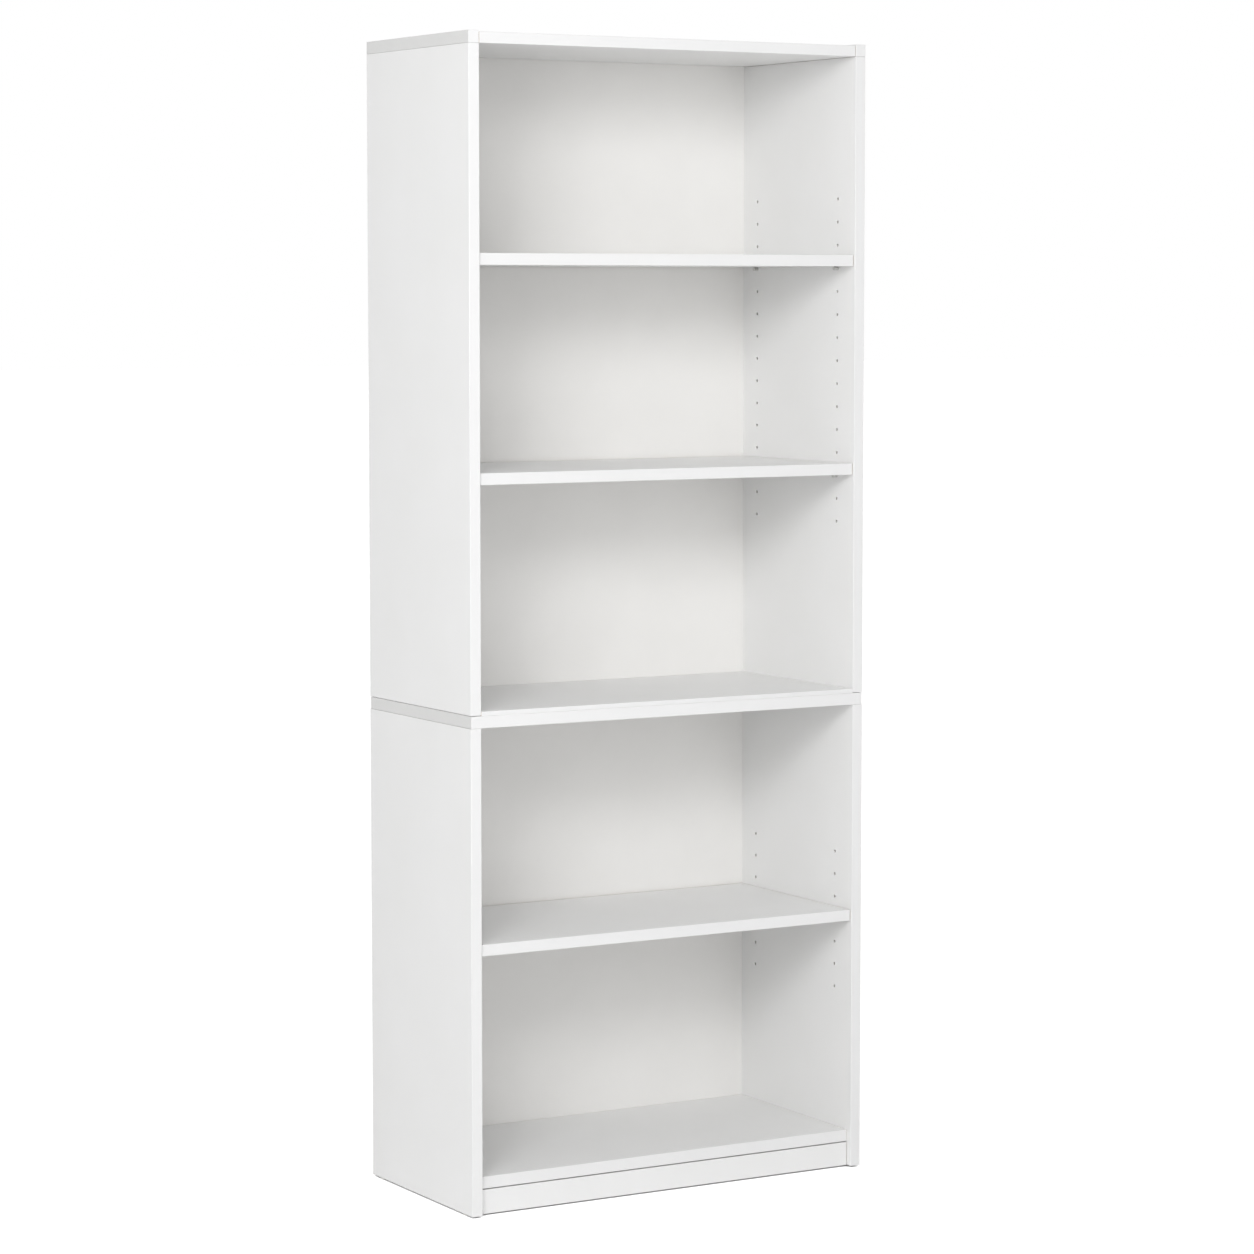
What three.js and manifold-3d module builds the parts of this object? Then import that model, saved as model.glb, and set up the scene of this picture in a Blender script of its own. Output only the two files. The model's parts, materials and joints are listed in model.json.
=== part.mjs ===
// A tall bookcase with adjustable shelves, flat-packed in laminated board.
//
// Millimetres, +Z up. The origin is on the floor, under the middle of the case. The front faces -Y,
// and +X is to the right of a person who stands in front of it.
//
// The case is two boxes, one on the other. The lower box has two sides, a fixed bottom shelf and a
// kick board. The middle board lies across it, as wide as the case, and the upper sides stand on
// that board. A thin floor panel fills the space between the upper sides, a top panel closes the
// case between two end blocks, and two thin panels close the back. Three loose shelves rest on
// pins, which push into rows of holes in the sides.
import * as THREE from "three";
import { mergeVertices } from "three/addons/utils/BufferGeometryUtils.js";
import Module from "manifold-3d";

// ------------------------------------------------------------------ driving dimensions
// The case
const OVERALL_WIDTH = 711;
const OVERALL_DEPTH = 340;
const OVERALL_HEIGHT = 1803;
const MIDDLE_HEIGHT = 754; // underside of the middle board above the floor
const KICK_HEIGHT = 41.7; // underside of the bottom shelf above the floor

// Boards
const SIDE_THICKNESS = 18;
const SHELF_THICKNESS = 18;
const TOP_THICKNESS = 17;
const END_BLOCK_HEIGHT = 19;
const MIDDLE_THICKNESS = 18.8;
const FLOOR_THICKNESS = 6.5;
const BOTTOM_THICKNESS = 18.8;
const KICK_THICKNESS = 15;
const BACK_THICKNESS = 3;
const ARRIS = 0.8; // chamfer that stands for the rounded edge of a laminated board
const BACK_ARRIS = 0.3; // the same on the thin back panels

// Set-backs and seams
const TOP_DROP = 2; // top panel below the end blocks
const TOP_SETBACK = 0.8;
const TOP_END_GAP = 0.8; // open seam between the top panel and each end block
const MIDDLE_INSET = 1; // each end of the middle board inside the outer face of the sides
const MIDDLE_SEAM = 1; // open seam on the middle board, under the upper sides
const KICK_SETBACK = 11;
const KICK_END_GAP = 0.8;
const KICK_SEAM = 1.6; // open seam between the kick board and the bottom shelf
const SHELF_SETBACK = 4;
const SHELF_END_GAP = 0.8;
const SHELF_BACK_GAP = 2;
const FIT_GAP = 0.3; // between any two boards that touch

// The rebate that holds the back panels
const REBATE_WIDTH = 8;
const REBATE_DEPTH = 7;

// Shelf holes and pins
const HOLE_RADIUS = 2.5;
const HOLE_DEPTH = 10;
const HOLE_PITCH = 36.8;
const COLUMN_SETBACK = 50; // hole columns from the front and the rear edge of a side
const FIRST_SPACE = 343; // clear height below the lowest loose shelf of each box
const LOWER_ROWS = { below: 3, above: 3 }; // rows below its lowest shelf and above its highest
const UPPER_ROWS = { below: 2, above: 3 };
const UPPER_SHELVES = 2;
const PIN = { shoulder: 0.5, headLength: 8, shankLength: 9, chamfer: 0.8, clearance: 0.2 };
const REST_GAP = 0.1; // between a pin's head and the shelf on it

// Cam locks and their bolts
const CAM = { radius: 7.5, room: 8, slot: 4.6, cross: 8, blade: 1.6, crossDepth: 1.5 };
const CAM_DISTANCE = 34; // cam axis from the end of its board
const CAM_SETBACK = 70; // cam axis from the front and the rear edge of its board
const BOLT = { head: 3.5, headLength: 3, neck: 1.8, shaft: 2.6 };
const BOLT_COLLAR = { radius: 3.8, length: 1.5 };
const BOLT_THREAD = { radius: 2.4, length: 10 };
const FASTENER_GAP = 0.3; // around a cam, a bolt, a dowel or a nail in its hole

// Dowels, with their reach into each of the two pieces that they join
const DOWEL = { radius: 4, chamfer: 1 };
const BLOCK_DOWEL = { inSide: 18, inBlock: 12, setback: 40 };
const MIDDLE_DOWEL = { inSide: 20, setback: 40 };
const KICK_DOWEL = { inSide: 10, inKick: 20 };

// Glides under the sides
const GLIDE = { radius: 8, height: 2, nail: 1.2, nailLength: 14, setback: 30 };

// Facets of the round pieces
const HOLE_FACETS = 10;
const CAM_FACETS = 16;
const DOWEL_FACETS = 8;
const GLIDE_FACETS = 12;

// ------------------------------------------------------------------ derived places
const OUTER = OVERALL_WIDTH / 2;
const INNER = OUTER - SIDE_THICKNESS; // inner face of a right-hand side
const SIDE_CENTRE = OUTER - SIDE_THICKNESS / 2;
const FRONT = -OVERALL_DEPTH / 2;
const REAR = OVERALL_DEPTH / 2;
const BACK_FACE = REAR - REBATE_DEPTH; // front face of the back panels
const BOARD_REAR = BACK_FACE - FIT_GAP; // rear edge of every board that a back panel covers

const SIDE_FOOT = GLIDE.height + FIT_GAP;
const LOWER_SIDE_TOP = MIDDLE_HEIGHT - FIT_GAP;
const MIDDLE_TOP = MIDDLE_HEIGHT + MIDDLE_THICKNESS;
const UPPER_SIDE_FOOT = MIDDLE_TOP + MIDDLE_SEAM;
const BLOCK_FOOT = OVERALL_HEIGHT - END_BLOCK_HEIGHT;
const UPPER_SIDE_TOP = BLOCK_FOOT - FIT_GAP;
const TOP_FACE = OVERALL_HEIGHT - TOP_DROP;
const TOP_UNDERSIDE = TOP_FACE - TOP_THICKNESS;
const FLOOR_FOOT = MIDDLE_TOP + FIT_GAP;
const FLOOR_TOP = FLOOR_FOOT + FLOOR_THICKNESS;
const BOTTOM_TOP = KICK_HEIGHT + BOTTOM_THICKNESS;
const KICK_TOP = KICK_HEIGHT - KICK_SEAM;
const KICK_FRONT = FRONT + KICK_SETBACK;

// The shelves' undersides. The two upper shelves are a whole number of hole rows apart, as near as
// that comes to spaces of one height.
const LOWER_SHELF_FOOT = BOTTOM_TOP + FIRST_SPACE;
const CENTRE_SHELF_FOOT = FLOOR_TOP + FIRST_SPACE;
const UPPER_SPACE = (TOP_UNDERSIDE - CENTRE_SHELF_FOOT) / UPPER_SHELVES;
const ROWS_BETWEEN = Math.round(UPPER_SPACE / HOLE_PITCH);
const SHELF_FEET = {
  lower: LOWER_SHELF_FOOT,
  centre: CENTRE_SHELF_FOOT,
  upper: CENTRE_SHELF_FOOT + ROWS_BETWEEN * HOLE_PITCH,
};
const PIN_HEAD = HOLE_RADIUS + PIN.shoulder; // radius of a pin's head, which stops at the hole's edge
const PIN_TO_SHELF = PIN_HEAD + REST_GAP; // a pin's axis below the shelf that it carries

// The two hands of the case, and the front and rear places at one distance from two edges.
const HANDS = { left: -1, right: 1 };
const places = (front, rear, setback) => ({ front: front + setback, rear: rear - setback });
const COLUMNS = places(FRONT, REAR, COLUMN_SETBACK);
const BLOCK_DOWEL_PLACES = places(FRONT, REAR, BLOCK_DOWEL.setback);
const MIDDLE_DOWEL_PLACES = places(FRONT, REAR, MIDDLE_DOWEL.setback);
const GLIDE_PLACES = places(FRONT, REAR, GLIDE.setback);
const KICK_DOWEL_PLACE = { y: KICK_FRONT + KICK_THICKNESS / 2, z: (SIDE_FOOT + KICK_TOP) / 2 };

// The cam-locked boards: where they end, the face that their pockets open on (open is +1 for the
// top face), how deep in that face their bolts lie, and where their cams are.
const TOP_CAMS = {
  end: INNER - TOP_END_GAP,
  face: TOP_FACE,
  open: 1,
  boltDepth: TOP_THICKNESS / 2,
  places: places(FRONT + TOP_SETBACK, BOARD_REAR, CAM_SETBACK),
};
const BOTTOM_CAMS = {
  end: INNER - FIT_GAP,
  face: KICK_HEIGHT,
  open: -1,
  boltDepth: BOTTOM_THICKNESS / 2,
  places: places(KICK_FRONT, BOARD_REAR, CAM_SETBACK),
};

// ------------------------------------------------------------------ materials
const finish = (color, roughness, metalness = 0) =>
  new THREE.MeshStandardMaterial({ color, roughness, metalness });
const laminate = () => finish(0xf2f2f0, 0.45);
const hardboard = () => finish(0xeeeeec, 0.7);
const nickel = () => finish(0xa9a9a6, 0.35, 1);
const zinc = () => finish(0x9a9c9f, 0.5, 1);
const beech = () => finish(0xcda878, 0.7);
const nylon = () => finish(0xd8d8d4, 0.55);

// ------------------------------------------------------------------ solids
const wasm = await Module();
wasm.setup();

// A closed geometry as a solid that can be cut.
function toSolid(geometry) {
  const bare = geometry.clone();
  bare.deleteAttribute("normal");
  bare.deleteAttribute("uv");
  const merged = mergeVertices(bare, 1e-4);
  const mesh = new wasm.Mesh({
    numProp: 3,
    vertProperties: new Float32Array(merged.attributes.position.array),
    triVerts: new Uint32Array(merged.index.array),
  });
  return new wasm.Manifold(mesh);
}

// The geometry less every cutter.
function cut(geometry, cutters) {
  const start = toSolid(geometry);
  const solid = cutters.reduce((left, cutter) => left.subtract(toSolid(cutter)), start);
  const { vertProperties, triVerts } = solid.getMesh();
  const result = new THREE.BufferGeometry();
  result.setAttribute("position", new THREE.BufferAttribute(vertProperties, 3));
  result.setIndex(new THREE.BufferAttribute(triVerts, 1));
  return result;
}

// An outline of [x, y] points raised from one height to another, its end edges chamfered.
function prism(outline, low, high, arris) {
  const shape = new THREE.Shape(outline.map(([x, y]) => new THREE.Vector2(x, y)));
  const geometry = new THREE.ExtrudeGeometry(shape, {
    depth: high - low - 2 * arris,
    bevelThickness: arris,
    bevelSize: arris,
    bevelOffset: -arris,
    bevelSegments: 1,
  });
  return geometry.translate(0, 0, low + arris);
}

// A board between two corners, with every edge chamfered.
function board([x0, y0, z0], [x1, y1, z1], arris = ARRIS) {
  const outline = [
    [x0 + arris, y0],
    [x1 - arris, y0],
    [x1, y0 + arris],
    [x1, y1 - arris],
    [x1 - arris, y1],
    [x0 + arris, y1],
    [x0, y1 - arris],
    [x0, y0 + arris],
  ];
  return prism(outline, z0, z1, arris);
}

// A piece with the sides' section, which has the rebate for the back panels at its rear inner edge.
function upright(hand, low, high) {
  const rightHand = [
    [INNER + ARRIS, FRONT],
    [OUTER - ARRIS, FRONT],
    [OUTER, FRONT + ARRIS],
    [OUTER, REAR - ARRIS],
    [OUTER - ARRIS, REAR],
    [INNER + REBATE_WIDTH, REAR],
    [INNER + REBATE_WIDTH, BACK_FACE],
    [INNER, BACK_FACE],
    [INNER, FRONT + ARRIS],
  ];
  const leftHand = rightHand.map(([x, y]) => [-x, y]).reverse();
  return prism(hand > 0 ? rightHand : leftHand, low, high, ARRIS);
}

// A plain box between two corners, for a square cut.
function block(corner, opposite) {
  const low = new THREE.Vector3(...corner).min(new THREE.Vector3(...opposite));
  const size = new THREE.Vector3(...corner).max(new THREE.Vector3(...opposite)).sub(low);
  const centre = low.addScaledVector(size, 0.5);
  return new THREE.BoxGeometry(size.x, size.y, size.z).translate(centre.x, centre.y, centre.z);
}

// A round bar between two points.
function bar(from, to, radius, facets) {
  const centre = new THREE.Vector3(...from);
  const span = new THREE.Vector3(...to).sub(centre);
  const turn = new THREE.Quaternion();
  turn.setFromUnitVectors(new THREE.Vector3(0, 1, 0), span.clone().normalize());
  centre.addScaledVector(span, 0.5);
  const geometry = new THREE.CylinderGeometry(radius, radius, span.length(), facets);
  return geometry.applyQuaternion(turn).translate(centre.x, centre.y, centre.z);
}

// A turned piece. Its profile is [radius, distance] points along an axis that runs from a point in
// a direction.
function turned(profile, from, direction, facets) {
  const points = profile.map(([radius, distance]) => new THREE.Vector2(radius, distance));
  const turn = new THREE.Quaternion();
  turn.setFromUnitVectors(new THREE.Vector3(0, 1, 0), new THREE.Vector3(...direction));
  return new THREE.LatheGeometry(points, facets).applyQuaternion(turn).translate(...from);
}

// ------------------------------------------------------------------ shelf holes and pins
// Blind holes in the inner face of a side, in two columns. The lowest and highest shelf of the box
// are so many rows apart, and more rows go on below and above them.
function shelfHoles(hand, lowestShelf, rowsBetween, { below, above }) {
  const first = lowestShelf - PIN_TO_SHELF - below * HOLE_PITCH;
  const rows = Array.from({ length: below + rowsBetween + above + 1 }, (_, row) => row);
  return rows.flatMap((row) =>
    Object.values(COLUMNS).map((y) => {
      const z = first + row * HOLE_PITCH;
      const mouth = [hand * (INNER - 1), y, z];
      return bar(mouth, [hand * (INNER + HOLE_DEPTH), y, z], HOLE_RADIUS, HOLE_FACETS);
    }),
  );
}

// The shank fills the hole, and the thicker head stands out from the side, under the shelf.
function shelfPin(hand, y, z) {
  const shank = HOLE_RADIUS - PIN.clearance;
  const tip = PIN.shankLength + PIN.headLength;
  const profile = [
    [0, 0],
    [shank - PIN.chamfer, 0],
    [shank, PIN.chamfer],
    [shank, PIN.shankLength],
    [PIN_HEAD, PIN.shankLength],
    [PIN_HEAD, tip - PIN.chamfer],
    [PIN_HEAD - PIN.chamfer, tip],
    [0, tip],
  ];
  const shankEnd = hand * (INNER - REST_GAP + PIN.shankLength);
  return turned(profile, [shankEnd, y, z], [-hand, 0, 0], HOLE_FACETS);
}

// ------------------------------------------------------------------ cam locks and bolts
const camX = (cams, hand) => hand * (cams.end - CAM_DISTANCE);
const camHeight = (cams) => cams.boltDepth + BOLT.head;
const boltZ = (cams) => cams.face - cams.open * cams.boltDepth;

// A disc with room inside for the bolt's head, a slot for its neck, and a cross for the driver.
function camLock(cams, hand, y) {
  const x = camX(cams, hand);
  const deep = (depth) => cams.face - cams.open * depth;
  const room = CAM.room / 2;
  const slot = CAM.slot / 2;
  const arm = CAM.cross / 2;
  const blade = CAM.blade / 2;
  const roomStart = deep(cams.boltDepth - room);
  const beyond = deep(camHeight(cams) + 1);
  const above = deep(-1);
  const cross = deep(CAM.crossDepth);
  const disc = bar([x, y, cams.face], [x, y, deep(camHeight(cams))], CAM.radius, CAM_FACETS);
  return cut(disc, [
    block([x - room, y - room, roomStart], [x + room, y + room, beyond]),
    block([x, y - slot, roomStart], [x + hand * (CAM.radius + 1), y + slot, beyond]),
    block([x - arm, y - blade, above], [x + arm, y + blade, cross]),
    block([x - blade, y - arm, above], [x + blade, y + arm, cross]),
  ]);
}

// The bolt's head sits in the cam and its neck reaches out of it. The collar stops at the upright,
// and the thread goes in.
function camBolt(cams, hand, y) {
  const start = camX(cams, hand) - (hand * BOLT.headLength) / 2;
  const upright = INNER - Math.abs(start);
  const collarEnd = upright - FIT_GAP;
  const collarStart = collarEnd - BOLT_COLLAR.length;
  const neckEnd = BOLT.headLength / 2 + CAM.radius + FASTENER_GAP;
  const profile = [
    [0, 0],
    [BOLT.head, 0],
    [BOLT.head, BOLT.headLength],
    [BOLT.neck, BOLT.headLength],
    [BOLT.neck, neckEnd],
    [BOLT.shaft, neckEnd],
    [BOLT.shaft, collarStart],
    [BOLT_COLLAR.radius, collarStart],
    [BOLT_COLLAR.radius, collarEnd],
    [BOLT_THREAD.radius, collarEnd],
    [BOLT_THREAD.radius, upright + BOLT_THREAD.length],
    [0, upright + BOLT_THREAD.length],
  ];
  return turned(profile, [start, y, boltZ(cams)], [hand, 0, 0], DOWEL_FACETS);
}

// In a cam-locked board: the pockets for the cams, and the bores for the bolts at its ends.
function camCutters(cams) {
  const z = boltZ(cams);
  const mouth = cams.face + cams.open;
  const floor = cams.face - cams.open * (camHeight(cams) + FASTENER_GAP);
  const pocket = CAM.radius + FASTENER_GAP;
  const bore = BOLT_COLLAR.radius + FASTENER_GAP;
  return Object.values(HANDS).flatMap((hand) =>
    Object.values(cams.places).flatMap((y) => {
      const x = camX(cams, hand);
      return [
        bar([x, y, mouth], [x, y, floor], pocket, CAM_FACETS),
        bar([x, y, z], [hand * (cams.end + 1), y, z], bore, DOWEL_FACETS),
      ];
    }),
  );
}

// In an upright: the holes for the threads.
function threadHoles(cams, hand) {
  const z = boltZ(cams);
  const end = hand * (INNER + BOLT_THREAD.length + FASTENER_GAP);
  const radius = BOLT_THREAD.radius + FASTENER_GAP;
  return Object.values(cams.places).map((y) =>
    bar([hand * (INNER - 1), y, z], [end, y, z], radius, DOWEL_FACETS),
  );
}

// ------------------------------------------------------------------ dowels and glides
function dowel(from, direction, length) {
  const tip = DOWEL.radius - DOWEL.chamfer;
  const profile = [
    [0, 0],
    [tip, 0],
    [DOWEL.radius, DOWEL.chamfer],
    [DOWEL.radius, length - DOWEL.chamfer],
    [tip, length],
    [0, length],
  ];
  return turned(profile, from, direction, DOWEL_FACETS);
}

const dowelHole = (from, to) => bar(from, to, DOWEL.radius + FASTENER_GAP, DOWEL_FACETS);

// Upright holes on the centre line of a side, for the dowels at two places.
const uprightHoles = (hand, dowelPlaces, low, high) =>
  Object.values(dowelPlaces).map((y) =>
    dowelHole([hand * SIDE_CENTRE, y, low], [hand * SIDE_CENTRE, y, high]),
  );

// Where the dowels stop in the sides and blocks.
const BLOCK_DOWEL_LOW = UPPER_SIDE_TOP - BLOCK_DOWEL.inSide;
const BLOCK_DOWEL_HIGH = BLOCK_FOOT + BLOCK_DOWEL.inBlock;
const MIDDLE_DOWEL_LOW = LOWER_SIDE_TOP - MIDDLE_DOWEL.inSide;
const MIDDLE_DOWEL_HIGH = UPPER_SIDE_FOOT + MIDDLE_DOWEL.inSide;

const blockHoles = (hand) =>
  uprightHoles(
    hand,
    BLOCK_DOWEL_PLACES,
    BLOCK_DOWEL_LOW - FASTENER_GAP,
    BLOCK_DOWEL_HIGH + FASTENER_GAP,
  );
const middleHoles = (hand) =>
  uprightHoles(
    hand,
    MIDDLE_DOWEL_PLACES,
    MIDDLE_DOWEL_LOW - FASTENER_GAP,
    MIDDLE_DOWEL_HIGH + FASTENER_GAP,
  );

// The kick board's dowel, from its inner end to its outer end.
const KICK_DOWEL_START = INNER - KICK_END_GAP - KICK_DOWEL.inKick;
const KICK_DOWEL_END = INNER + KICK_DOWEL.inSide;

function kickHole(hand) {
  const { y, z } = KICK_DOWEL_PLACE;
  const start = hand * (KICK_DOWEL_START - FASTENER_GAP);
  return dowelHole([start, y, z], [hand * (KICK_DOWEL_END + FASTENER_GAP), y, z]);
}

// A disc under the side, with a nail that goes up into it.
function glide(hand, y) {
  const { radius, height, nail, nailLength } = GLIDE;
  const profile = [
    [0, 0],
    [radius - height / 2, 0],
    [radius, height / 2],
    [radius, height],
    [nail, height],
    [nail, height + nailLength - nail],
    [0, height + nailLength],
  ];
  return turned(profile, [hand * SIDE_CENTRE, y, 0], [0, 0, 1], GLIDE_FACETS);
}

const glideHoles = (hand) =>
  Object.values(GLIDE_PLACES).map((y) => {
    const top = GLIDE.height + GLIDE.nailLength + FASTENER_GAP;
    const foot = [hand * SIDE_CENTRE, y, 0];
    return bar(foot, [hand * SIDE_CENTRE, y, top], GLIDE.nail + FASTENER_GAP, DOWEL_FACETS);
  });

// ------------------------------------------------------------------ the bookcase
const bookcase = new THREE.Group();
const lowerBox = new THREE.Group();
const upperBox = new THREE.Group();
const looseShelves = new THREE.Group();
bookcase.add(lowerBox, upperBox, looseShelves);

// A mesh stands at its own centre, and its geometry is drawn around that point.
function add(group, name, geometry, material) {
  geometry.computeBoundingBox();
  const centre = geometry.boundingBox.getCenter(new THREE.Vector3());
  geometry.translate(-centre.x, -centre.y, -centre.z);
  geometry.computeVertexNormals();
  const mesh = new THREE.Mesh(geometry, material);
  mesh.name = name;
  mesh.position.copy(centre);
  group.add(mesh);
}

// A board that spans the case: half its width, and its front, rear, low and high faces.
const across = (half, front, rear, low, high, arris) =>
  board([-half, front, low], [half, rear, high], arris);

// Lower box
const fittedHalf = INNER - FIT_GAP;
const kickHalf = INNER - KICK_END_GAP;
const bottomShelf = across(fittedHalf, KICK_FRONT, BOARD_REAR, KICK_HEIGHT, BOTTOM_TOP);
const kickRear = KICK_FRONT + KICK_THICKNESS;
const kickBoard = across(kickHalf, KICK_FRONT, kickRear, SIDE_FOOT, KICK_TOP);
add(lowerBox, "bottom_shelf", cut(bottomShelf, camCutters(BOTTOM_CAMS)), laminate());
add(lowerBox, "kick_board", cut(kickBoard, Object.values(HANDS).map(kickHole)), laminate());

// Middle board, with the holes that the dowels pass through
const middleHalf = OUTER - MIDDLE_INSET;
const middleBoard = across(middleHalf, FRONT, REAR, MIDDLE_HEIGHT, MIDDLE_TOP);
const throughHoles = Object.values(HANDS).flatMap(middleHoles);
add(lowerBox, "middle_board", cut(middleBoard, throughHoles), laminate());

// Upper box
const upperFloor = across(fittedHalf, FRONT, BOARD_REAR, FLOOR_FOOT, FLOOR_TOP);
const topHalf = INNER - TOP_END_GAP;
const topPanel = across(topHalf, FRONT + TOP_SETBACK, BOARD_REAR, TOP_UNDERSIDE, TOP_FACE);
add(upperBox, "upper_floor_panel", upperFloor, laminate());
add(upperBox, "top_panel", cut(topPanel, camCutters(TOP_CAMS)), laminate());

// Back panels, in the rebates. Each covers the rear edges of the boards above and below it.
const backHalf = INNER + REBATE_WIDTH - FIT_GAP;
const backPanel = (low, high) =>
  across(backHalf, BACK_FACE, BACK_FACE + BACK_THICKNESS, low, high, BACK_ARRIS);
add(lowerBox, "lower_back_panel", backPanel(KICK_HEIGHT, LOWER_SIDE_TOP), hardboard());
add(upperBox, "upper_back_panel", backPanel(FLOOR_FOOT, TOP_FACE), hardboard());

// Each hand's uprights, with the holes that they need
for (const [side, hand] of Object.entries(HANDS)) {
  const lowerSide = cut(upright(hand, SIDE_FOOT, LOWER_SIDE_TOP), [
    ...shelfHoles(hand, LOWER_SHELF_FOOT, 0, LOWER_ROWS),
    ...threadHoles(BOTTOM_CAMS, hand),
    ...middleHoles(hand),
    ...glideHoles(hand),
    kickHole(hand),
  ]);
  const upperSide = cut(upright(hand, UPPER_SIDE_FOOT, UPPER_SIDE_TOP), [
    ...shelfHoles(hand, CENTRE_SHELF_FOOT, ROWS_BETWEEN, UPPER_ROWS),
    ...middleHoles(hand),
    ...blockHoles(hand),
  ]);
  const endBlock = cut(upright(hand, BLOCK_FOOT, OVERALL_HEIGHT), [
    ...threadHoles(TOP_CAMS, hand),
    ...blockHoles(hand),
  ]);
  add(lowerBox, `lower_${side}_side`, lowerSide, laminate());
  add(upperBox, `upper_${side}_side`, upperSide, laminate());
  add(upperBox, `${side}_end_block`, endBlock, laminate());

  const { y, z } = KICK_DOWEL_PLACE;
  const kickDowelLength = KICK_DOWEL_END - KICK_DOWEL_START;
  const kickDowel = dowel([hand * KICK_DOWEL_START, y, z], [hand, 0, 0], kickDowelLength);
  add(lowerBox, `kick_dowel_${side}`, kickDowel, beech());
}

// Fasteners that stand at a front and a rear place on each hand
function addSet(group, name, setPlaces, make, material) {
  for (const [side, hand] of Object.entries(HANDS))
    for (const [end, y] of Object.entries(setPlaces))
      add(group, `${name}_${end}_${side}`, make(hand, y), material());
}

const uprightDowel = (low, high) => (hand, y) =>
  dowel([hand * SIDE_CENTRE, y, low], [0, 0, 1], high - low);
const blockDowel = uprightDowel(BLOCK_DOWEL_LOW, BLOCK_DOWEL_HIGH);
const middleDowel = uprightDowel(MIDDLE_DOWEL_LOW, MIDDLE_DOWEL_HIGH);
addSet(lowerBox, "glide", GLIDE_PLACES, glide, nylon);
addSet(lowerBox, "middle_dowel", MIDDLE_DOWEL_PLACES, middleDowel, beech);
addSet(upperBox, "block_dowel", BLOCK_DOWEL_PLACES, blockDowel, beech);

const camBoards = { bottom: [lowerBox, BOTTOM_CAMS], top: [upperBox, TOP_CAMS] };
for (const [name, [group, cams]] of Object.entries(camBoards)) {
  addSet(group, `${name}_cam`, cams.places, (hand, y) => camLock(cams, hand, y), zinc);
  addSet(group, `${name}_bolt`, cams.places, (hand, y) => camBolt(cams, hand, y), nickel);
}

// Loose shelves, each on four pins
for (const [name, foot] of Object.entries(SHELF_FEET)) {
  const half = INNER - SHELF_END_GAP;
  const rear = BACK_FACE - SHELF_BACK_GAP;
  const shelf = across(half, FRONT + SHELF_SETBACK, rear, foot, foot + SHELF_THICKNESS);
  add(looseShelves, `${name}_shelf`, shelf, laminate());
  const pin = (hand, y) => shelfPin(hand, y, foot - PIN_TO_SHELF);
  addSet(looseShelves, `${name}_shelf_pin`, COLUMNS, pin, nickel);
}

export default bookcase;
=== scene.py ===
# %% [markdown]
# # A white bookcase with adjustable shelves
#
# This bookcase is flat-packed from chipboard with a white melamine face. Two boxes stand one on the
# other. Three shelves rest loose on metal pins, and rows of blind holes let them go higher or lower.
#
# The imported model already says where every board, pin and fastener is, and what moves. The cells
# below load it as a fixed frame, and then make each piece again as it looks when someone stands close
# to it: arrises rounded as edging machines leave them, drilled holes, turned pins, cast cams.
# Everything is in metres. The front of the case faces -Y and the floor is at Z = 0.

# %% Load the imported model
import json
import math

import bmesh
import bpy
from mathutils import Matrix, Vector

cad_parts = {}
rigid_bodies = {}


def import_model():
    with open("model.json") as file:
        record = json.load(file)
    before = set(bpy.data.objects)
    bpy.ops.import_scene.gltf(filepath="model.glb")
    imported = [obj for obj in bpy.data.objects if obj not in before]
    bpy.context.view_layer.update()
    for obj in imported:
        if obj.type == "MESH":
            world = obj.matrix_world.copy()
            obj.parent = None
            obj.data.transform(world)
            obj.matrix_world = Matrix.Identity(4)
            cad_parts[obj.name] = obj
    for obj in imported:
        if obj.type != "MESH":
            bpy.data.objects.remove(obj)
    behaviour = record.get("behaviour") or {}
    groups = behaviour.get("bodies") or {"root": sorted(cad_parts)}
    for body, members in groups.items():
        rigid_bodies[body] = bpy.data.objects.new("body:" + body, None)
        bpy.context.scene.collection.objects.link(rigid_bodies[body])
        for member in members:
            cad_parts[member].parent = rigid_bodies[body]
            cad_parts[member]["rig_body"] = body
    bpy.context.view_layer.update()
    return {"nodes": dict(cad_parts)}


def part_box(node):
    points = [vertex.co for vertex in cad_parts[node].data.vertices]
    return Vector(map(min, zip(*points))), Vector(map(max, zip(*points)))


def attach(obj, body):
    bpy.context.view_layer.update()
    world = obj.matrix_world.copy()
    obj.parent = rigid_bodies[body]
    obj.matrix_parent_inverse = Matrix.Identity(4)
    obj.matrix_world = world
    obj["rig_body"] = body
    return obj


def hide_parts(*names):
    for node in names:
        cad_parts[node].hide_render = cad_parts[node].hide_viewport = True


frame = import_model()
MM = 0.001

# %% [markdown]
# ## A camera and a plain view of the light
#
# A tall narrow object looks natural from far away through a long lens, because a short lens close by
# would splay its uprights. The camera stands in front and to the left, a little below shoulder
# height, and tilts down slightly. White boards show every change the film curve makes, so the
# picture uses the Standard transform, which leaves tones as they were lit.

# %% Place the camera
CAMERA_PLACE = Vector((-3.0895, -5.3172, 1.4147))
CAMERA_PAN = math.radians(30.3)
CAMERA_TILT = math.radians(-4.96)
CAMERA_LENS = 111.15
FILM_WIDTH = 36
NEAREST, FARTHEST = 0.1, 200

camera_data = bpy.data.cameras.new("Long lens")
camera_data.lens = CAMERA_LENS
camera_data.sensor_width = FILM_WIDTH
camera_data.clip_start = NEAREST
camera_data.clip_end = FARTHEST
camera = bpy.data.objects.new("Camera", camera_data)
camera.location = CAMERA_PLACE
camera.rotation_euler = (math.pi / 2 + CAMERA_TILT, 0, -CAMERA_PAN)
bpy.context.scene.collection.objects.link(camera)
bpy.context.scene.camera = camera
bpy.context.scene.view_settings.view_transform = "Standard"
bpy.context.scene.view_settings.look = "None"

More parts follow.
